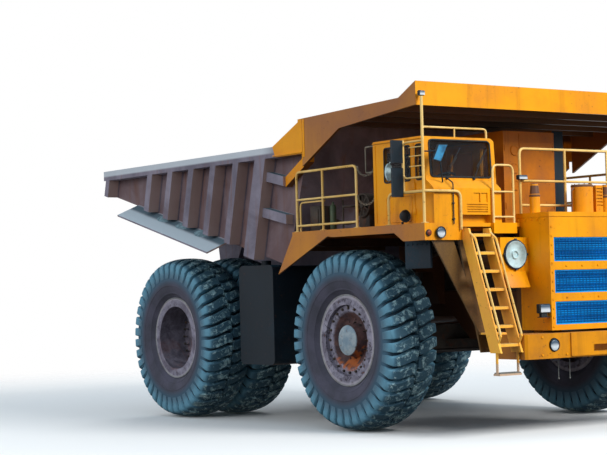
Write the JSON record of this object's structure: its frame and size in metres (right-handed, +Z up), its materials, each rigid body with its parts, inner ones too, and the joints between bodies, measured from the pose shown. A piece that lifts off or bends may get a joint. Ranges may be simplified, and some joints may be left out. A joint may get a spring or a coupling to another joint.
{
  "type": "rigid mining dump truck",
  "caption": "Rigid mining dump truck with a ribbed steel load body, canopy over the cab, twin rear wheels, deck rails and access ladders.",
  "frame": {"origin": "on the ground below the middle of the truck's bounding box", "axes": "+X ahead, +Y to the truck's left, +Z up"},
  "size_m": [11.39, 6.9, 5.64],
  "materials": {
    "amber_paint": "satin, dusty",
    "ochre_paint": "satin, dusty",
    "rail_paint": "dusty",
    "body_steel": "worn, dusty",
    "axle_iron": "dirty",
    "rim_paint": "rusty, dusty",
    "tyre_rubber": "dusty",
    "grille_blue": "satin",
    "tank_paint": "satin",
    "hoist_steel": "satin",
    "rod_chrome": "polished",
    "window_glass": "clear",
    "seat_cloth": "matte",
    "lamp_glass": "frosted",
    "chain_steel": "dull"
  },
  "bodies": {
    "chassis": {"frame": "ochre_paint", "deck_frame": "ochre_paint", "engine": "axle_iron", "front_axle": "axle_iron", "rear_axle": "axle_iron", "struts": "hoist_steel", "side_tanks": "tank_paint", "radiator_box": "amber_paint", "grilles": "grille_blue", "bumper": "amber_paint", "tow_lugs": "axle_iron", "side_decks": "amber_paint", "deck_middle": "ochre_paint", "cab_shell": "amber_paint", "cab_glass": "window_glass", "cab_seat": "seat_cloth", "cab_locker": "amber_paint", "cab_rails": "rail_paint", "mirrors": "tank_paint", "cabinets": "ochre_paint", "air_cleaners": "amber_paint", "deck_tanks": "amber_paint", "ladders": "amber_paint", "deck_rails": "rail_paint", "gate_chains": "chain_steel", "lamps": "lamp_glass"},
    "door": {"cab_door": "amber_paint", "door_glass": "window_glass"},
    "steer_arm_left": {"knuckle_left": "axle_iron"},
    "steer_arm_right": {"knuckle_right": "axle_iron"},
    "track_rod": {"tie_rod": "hoist_steel"},
    "front_wheel_left": {"front_rim_left": "rim_paint", "front_tyre_left": "tyre_rubber"},
    "front_wheel_right": {"front_rim_right": "rim_paint", "front_tyre_right": "tyre_rubber"},
    "rear_wheels_left": {"rear_rims_left": "rim_paint", "rear_tyres_left": "tyre_rubber"},
    "rear_wheels_right": {"rear_rims_right": "rim_paint", "rear_tyres_right": "tyre_rubber"},
    "bed": {"body_tub": "body_steel", "body_beams": "body_steel", "body_wings": "body_steel", "canopy": "amber_paint"},
    "barrel_left": {"hoist_barrel_left": "hoist_steel"},
    "barrel_right": {"hoist_barrel_right": "hoist_steel"},
    "stage_left": {"hoist_stage_left": "rod_chrome"},
    "stage_right": {"hoist_stage_right": "rod_chrome"},
    "rod_left": {"hoist_rod_left": "rod_chrome"},
    "rod_right": {"hoist_rod_right": "rod_chrome"}
  },
  "joints": [
    {"name": "bed_tip", "type": "hinge", "parent": "chassis", "child": "bed", "pos_m": [-4.395, 0, 2.75], "axis": [0, -1, 0], "range_deg": [0, 47]},
    {"name": "barrel_swing_left", "type": "hinge", "parent": "chassis", "child": "barrel_left", "pos_m": [-1.145, 1.25, 1.2], "axis": [0, -1, 0], "range_deg": [0, 22.5]},
    {"name": "stage_slide_left", "type": "slide", "parent": "barrel_left", "child": "stage_left", "axis": [0.1789, 0, 0.9839], "range_m": [0, 1.337]},
    {"name": "rod_slide_left", "type": "slide", "parent": "stage_left", "child": "rod_left", "axis": [0.1789, 0, 0.9839], "range_m": [0, 1.337]},
    {"name": "steer_left", "type": "hinge", "parent": "chassis", "child": "steer_arm_left", "pos_m": [2.255, 1.95, 1.53], "axis": [0, 0, 1], "range_deg": [-35, 35]},
    {"name": "front_spin_left", "type": "hinge", "parent": "steer_arm_left", "child": "front_wheel_left", "pos_m": [2.255, 2.56, 1.53], "axis": [0, 1, 0], "continuous": true},
    {"name": "rear_spin_left", "type": "hinge", "parent": "chassis", "child": "rear_wheels_left", "pos_m": [-3.045, 2.26, 1.53], "axis": [0, 1, 0], "continuous": true},
    {"name": "barrel_swing_right", "type": "hinge", "parent": "chassis", "child": "barrel_right", "pos_m": [-1.145, -1.25, 1.2], "axis": [0, -1, 0], "range_deg": [0, 22.5]},
    {"name": "stage_slide_right", "type": "slide", "parent": "barrel_right", "child": "stage_right", "axis": [0.1789, 0, 0.9839], "range_m": [0, 1.337]},
    {"name": "rod_slide_right", "type": "slide", "parent": "stage_right", "child": "rod_right", "axis": [0.1789, 0, 0.9839], "range_m": [0, 1.337]},
    {"name": "steer_right", "type": "hinge", "parent": "chassis", "child": "steer_arm_right", "pos_m": [2.255, -1.95, 1.53], "axis": [0, 0, 1], "range_deg": [-35, 35]},
    {"name": "front_spin_right", "type": "hinge", "parent": "steer_arm_right", "child": "front_wheel_right", "pos_m": [2.255, -2.56, 1.53], "axis": [0, 1, 0], "continuous": true},
    {"name": "rear_spin_right", "type": "hinge", "parent": "chassis", "child": "rear_wheels_right", "pos_m": [-3.045, -2.26, 1.53], "axis": [0, 1, 0], "continuous": true},
    {"name": "track_rod_swing", "type": "hinge", "parent": "steer_arm_left", "child": "track_rod", "pos_m": [1.755, 1.95, 1.255], "axis": [0, 0, 1], "range_deg": [-35, 35]},
    {"name": "door_hinge", "type": "hinge", "parent": "chassis", "child": "door", "pos_m": [4.195, -1.518, 4.1], "axis": [0, 0, -1], "range_deg": [0, 85]}
  ],
  "couplings": [
    {"joint": "steer_right", "follows": "steer_left", "ratio": 1},
    {"joint": "track_rod_swing", "follows": "steer_left", "ratio": -1},
    {"joint": "barrel_swing_left", "follows": "bed_tip", "ratio": 0.4715},
    {"joint": "stage_slide_left", "follows": "bed_tip", "m_per_rad": 1.6289},
    {"joint": "rod_slide_left", "follows": "bed_tip", "m_per_rad": 1.6289},
    {"joint": "barrel_swing_right", "follows": "bed_tip", "ratio": 0.4715},
    {"joint": "stage_slide_right", "follows": "bed_tip", "m_per_rad": 1.6289},
    {"joint": "rod_slide_right", "follows": "bed_tip", "m_per_rad": 1.6289}
  ]
}
